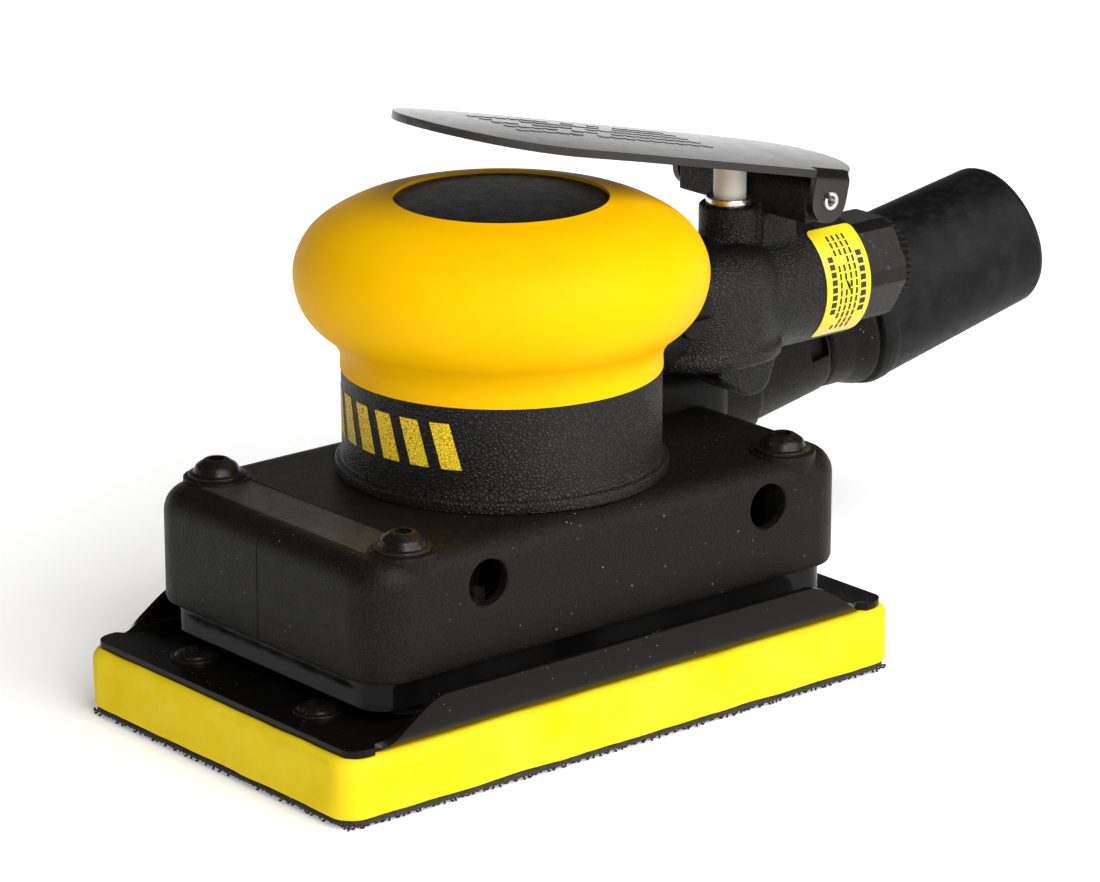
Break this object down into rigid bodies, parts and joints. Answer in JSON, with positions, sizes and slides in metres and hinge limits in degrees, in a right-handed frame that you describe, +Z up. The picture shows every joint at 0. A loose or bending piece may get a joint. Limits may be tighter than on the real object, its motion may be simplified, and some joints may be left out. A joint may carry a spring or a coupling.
{
  "type": "orbital palm sander",
  "caption": "Air-powered orbital sander with a rectangular foam pad, yellow palm grip, throttle lever, hexagonal air inlet and swivelling dust hose outlet.",
  "frame": {"origin": "where the motor axis meets the working face of the pad", "axes": "+Z up along the motor axis, +X towards the air inlet, +Y towards the dust outlet's side"},
  "size_m": [0.2182, 0.081, 0.1154],
  "materials": {
    "hook_fabric": "looped dark grey backing",
    "pad_foam": "lemon yellow moulded foam, matte",
    "black_enamel": "glossy black enamel on pressed steel",
    "machined_steel": "turned and ground",
    "black_oxide_steel": "black oxide, bright at worn edges",
    "vane_resin": "phenolic laminate",
    "shroud_nylon": "fine moulded texture",
    "smoked_skirt": "smoky, glossy",
    "black_rubber": "matte black with grey bloom",
    "grained_composite": "leather grain",
    "grip_rubber": "golden yellow, satin, soft touch",
    "brass": "turned",
    "zinc": "bright zinc",
    "white_nylon": "off-white nylon"
  },
  "bodies": {
    "housing": {"dust_shroud": "shroud_nylon", "skirt": "smoked_skirt", "shroud_screw_1": "black_oxide_steel", "shroud_screw_2": "black_oxide_steel", "shroud_screw_3": "black_oxide_steel", "shroud_screw_4": "black_oxide_steel", "flexible_leg_1": "black_rubber", "flexible_leg_2": "black_rubber", "flexible_leg_3": "black_rubber", "flexible_leg_4": "black_rubber", "body_casting": "grained_composite", "lock_nut": "shroud_nylon", "palm_grip": "grip_rubber", "top_cap": "grained_composite", "motor_liner": "machined_steel", "lower_end_plate": "machined_steel", "upper_end_plate": "machined_steel", "lower_bearing": "machined_steel", "upper_bearing": "machined_steel", "lock_ring": "brass", "exhaust_duct": "shroud_nylon", "inlet_bushing": "black_oxide_steel", "valve_bush": "zinc", "valve_spring": "zinc", "lever_pin": "zinc"},
    "motor_shaft": {"drive_shaft": "machined_steel", "counterweight": "machined_steel", "spindle_bearing": "machined_steel", "rotor": "machined_steel", "vane_1": "vane_resin", "vane_2": "vane_resin", "vane_3": "vane_resin", "vane_4": "vane_resin", "vane_5": "vane_resin"},
    "pad": {"hook_face": "hook_fabric", "foam_pad": "pad_foam", "backing_plate": "black_enamel", "spindle": "machined_steel", "spindle_screw": "black_oxide_steel", "plate_screw_1": "black_oxide_steel", "plate_screw_2": "black_oxide_steel", "plate_screw_3": "black_oxide_steel", "plate_screw_4": "black_oxide_steel"},
    "lever": {"throttle_lever": "black_enamel"},
    "plunger": {"valve_plunger": "white_nylon"},
    "dial": {"speed_dial": "shroud_nylon"},
    "hose_swivel": {"swivel_tube": "shroud_nylon", "hose_adapter": "black_rubber"},
    "plug": {"inlet_plug": "shroud_nylon"}
  },
  "joints": [
    {"name": "motor_spin", "type": "hinge", "parent": "housing", "child": "motor_shaft", "pos_m": [0, 0, 0.0265], "axis": [0, 0, 1], "continuous": true},
    {"name": "pad_orbit", "type": "hinge", "parent": "motor_shaft", "child": "pad", "pos_m": [-0.00118, 0.00092, 0.0275], "axis": [0, 0, 1], "continuous": true},
    {"name": "lever_press", "type": "hinge", "parent": "housing", "child": "lever", "pos_m": [0.0642, 0, 0.0892], "axis": [0, -1, 0], "range_deg": [0, 9], "stiffness_Nm_per_rad": 0.5, "springref_deg": -34.38},
    {"name": "plunger_travel", "type": "slide", "parent": "housing", "child": "plunger", "axis": [0, 0, -1], "range_m": [0, 0.0012], "deforming": ["valve_spring"]},
    {"name": "dial_turn", "type": "hinge", "parent": "housing", "child": "dial", "pos_m": [0.0346, -0.0158, 0.0704], "axis": [0, -1, 0], "range_deg": [0, 90]},
    {"name": "hose_turn", "type": "hinge", "parent": "housing", "child": "hose_swivel", "pos_m": [0.1039, 0.02, 0.0513], "axis": [0.9717, -0.0662, 0.2267], "continuous": true},
    {"name": "plug_pull", "type": "slide", "parent": "housing", "child": "plug", "axis": [1, 0, 0], "range_m": [0, 0.008]}
  ],
  "couplings": [
    {"joint": "pad_orbit", "follows": "motor_spin", "ratio": -1},
    {"joint": "plunger_travel", "follows": "lever_press", "m_per_rad": 0.0076}
  ]
}
